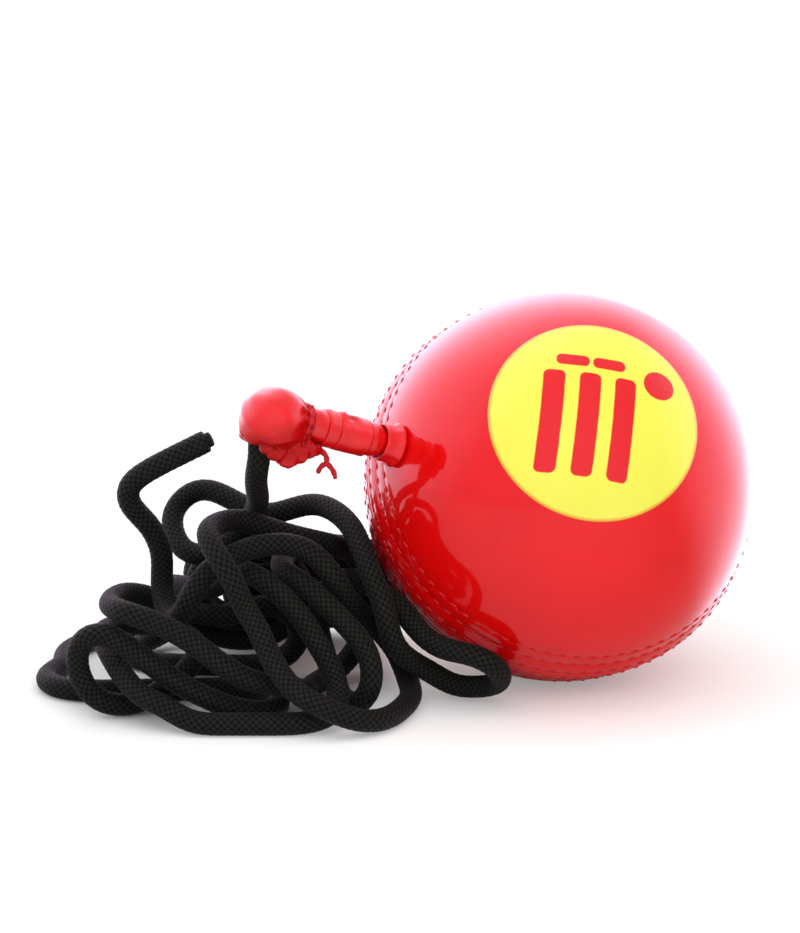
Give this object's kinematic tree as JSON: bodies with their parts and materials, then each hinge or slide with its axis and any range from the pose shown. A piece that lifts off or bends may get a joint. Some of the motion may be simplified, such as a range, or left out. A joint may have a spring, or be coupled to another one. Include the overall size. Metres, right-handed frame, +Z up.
{
  "type": "hanging cricket ball",
  "caption": "Stitched leather practice ball on a short bound stem that ends in a gathered cap, with its braided cord piled beside it.",
  "frame": {"origin": "lowest point of the ball, where it stands on the floor", "axes": "+Z up, -Y towards the viewer, so that the stem and the cord lie towards -X"},
  "size_m": [0.1325, 0.0785, 0.072],
  "materials": {
    "cork": "rough",
    "string": "matte",
    "ball_leather": "polished",
    "seam_thread": "satin",
    "print": "glossy",
    "stem_leather": "satin",
    "binding": "matte",
    "cord_braid": "satin",
    "washer": "matte"
  },
  "bodies": {
    "cord": {"cap": "stem_leather", "stopper_knot": "cord_braid", "binding_thread": "binding", "cord_drop": "cord_braid", "cord_side_loop": "cord_braid", "cord_heap": "cord_braid", "cord_tail": "cord_braid", "cord_tip": "cord_braid"},
    "stem": {"stem_sleeve": "stem_leather", "ball_wrap": "stem_leather", "cap_wrap": "stem_leather", "cord_in_stem": "cord_braid"},
    "collar": {"stem_collar": "stem_leather", "cord_in_ball": "cord_braid", "anchor_washer": "washer", "anchor_knot": "cord_braid"},
    "ball": {"core_front": "cork", "core_rear": "cork", "string_winding": "string", "cover_front": "ball_leather", "cover_rear": "ball_leather", "front_row_1": "seam_thread", "front_row_2": "seam_thread", "front_row_3": "seam_thread", "rear_row_1": "seam_thread", "rear_row_2": "seam_thread", "rear_row_3": "seam_thread", "print_disc": "print"}
  },
  "joints": [
    {"name": "stem_lift", "type": "hinge", "parent": "cord", "child": "stem", "pos_m": [-0.0448, -0.02432, 0.05256], "axis": [0.4772, -0.8788, 0], "range_deg": [0, 40]},
    {"name": "ball_lift", "type": "hinge", "parent": "stem", "child": "collar", "pos_m": [-0.03427, -0.01861, 0.04867], "axis": [0.4772, -0.8788, 0], "range_deg": [0, 25]},
    {"name": "ball_spin", "type": "hinge", "parent": "collar", "child": "ball", "pos_m": [0, 0, 0.036], "axis": [-0.8358, -0.4538, 0.309], "continuous": true}
  ]
}
